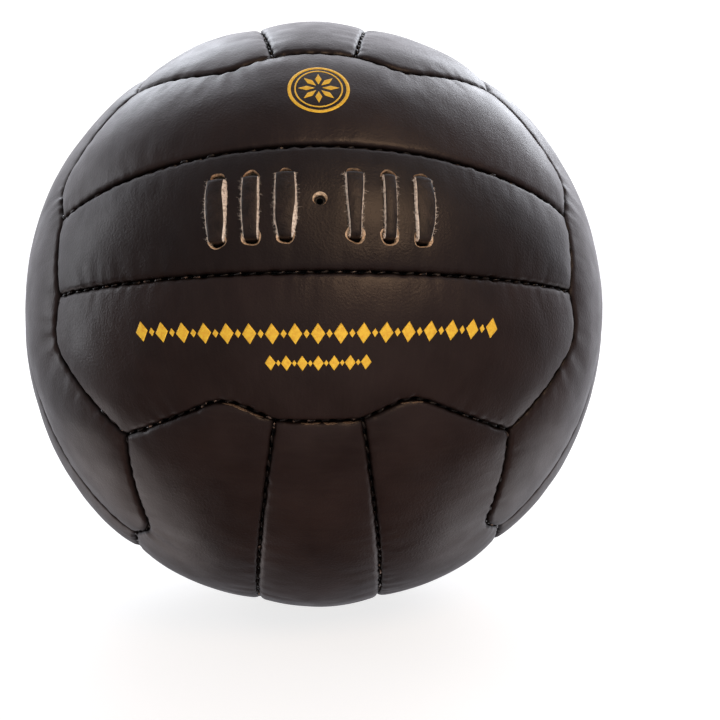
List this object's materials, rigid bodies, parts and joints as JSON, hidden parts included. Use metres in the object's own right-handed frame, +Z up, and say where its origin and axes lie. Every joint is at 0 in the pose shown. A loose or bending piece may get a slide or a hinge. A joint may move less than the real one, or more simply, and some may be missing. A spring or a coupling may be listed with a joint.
{
  "type": "football",
  "caption": "Full-size retro leather football: strip panels hand stitched over linings and a rubber bladder, with leather lacing and a needle valve.",
  "frame": {"origin": "centre of the ball", "axes": "+Z up through the ball's top; the ball rests on its lowest point at -Z; the laced face looks towards -Y and 24 degrees upwards; the laced strip runs along X"},
  "size_m": [0.22, 0.22, 0.22],
  "materials": {
    "panel_leather": "dark brown waxed full-grain leather, semi-gloss",
    "lace_leather": "dark brown thong, raw tan cut edges",
    "lining_cloth": "unbleached woven cotton",
    "sewing_thread": "waxed black linen thread",
    "bladder_rubber": "matt black butyl rubber",
    "valve_rubber": "satin black moulded rubber"
  },
  "bodies": {
    "root": {"panel_front_upper": "panel_leather", "panel_front_laced": "panel_leather", "panel_front_lower": "panel_leather", "panel_back_upper": "panel_leather", "panel_back_middle": "panel_leather", "panel_back_lower": "panel_leather", "panel_right_front": "panel_leather", "panel_right_middle": "panel_leather", "panel_right_rear": "panel_leather", "panel_left_front": "panel_leather", "panel_left_middle": "panel_leather", "panel_left_rear": "panel_leather", "panel_top_left": "panel_leather", "panel_top_middle": "panel_leather", "panel_top_right": "panel_leather", "panel_bottom_left": "panel_leather", "panel_bottom_middle": "panel_leather", "panel_bottom_right": "panel_leather", "lining_front_upper": "lining_cloth", "lining_front_laced": "lining_cloth", "lining_front_lower": "lining_cloth", "lining_back_upper": "lining_cloth", "lining_back_middle": "lining_cloth", "lining_back_lower": "lining_cloth", "lining_right_front": "lining_cloth", "lining_right_middle": "lining_cloth", "lining_right_rear": "lining_cloth", "lining_left_front": "lining_cloth", "lining_left_middle": "lining_cloth", "lining_left_rear": "lining_cloth", "lining_top_left": "lining_cloth", "lining_top_middle": "lining_cloth", "lining_top_right": "lining_cloth", "lining_bottom_left": "lining_cloth", "lining_bottom_middle": "lining_cloth", "lining_bottom_right": "lining_cloth", "strip_stitches_front": "sewing_thread", "strip_stitches_back": "sewing_thread", "strip_stitches_right": "sewing_thread", "strip_stitches_left": "sewing_thread", "strip_stitches_top": "sewing_thread", "strip_stitches_bottom": "sewing_thread", "end_stitches_front": "sewing_thread", "end_stitches_back": "sewing_thread", "end_stitches_right": "sewing_thread", "end_stitches_left": "sewing_thread", "end_stitches_top": "sewing_thread", "end_stitches_bottom": "sewing_thread", "lace_left": "lace_leather", "lace_right": "lace_leather", "lacing_backing": "lining_cloth", "bladder": "bladder_rubber", "valve_seat": "valve_rubber", "valve_core": "valve_rubber"}
  },
  "joints": []
}
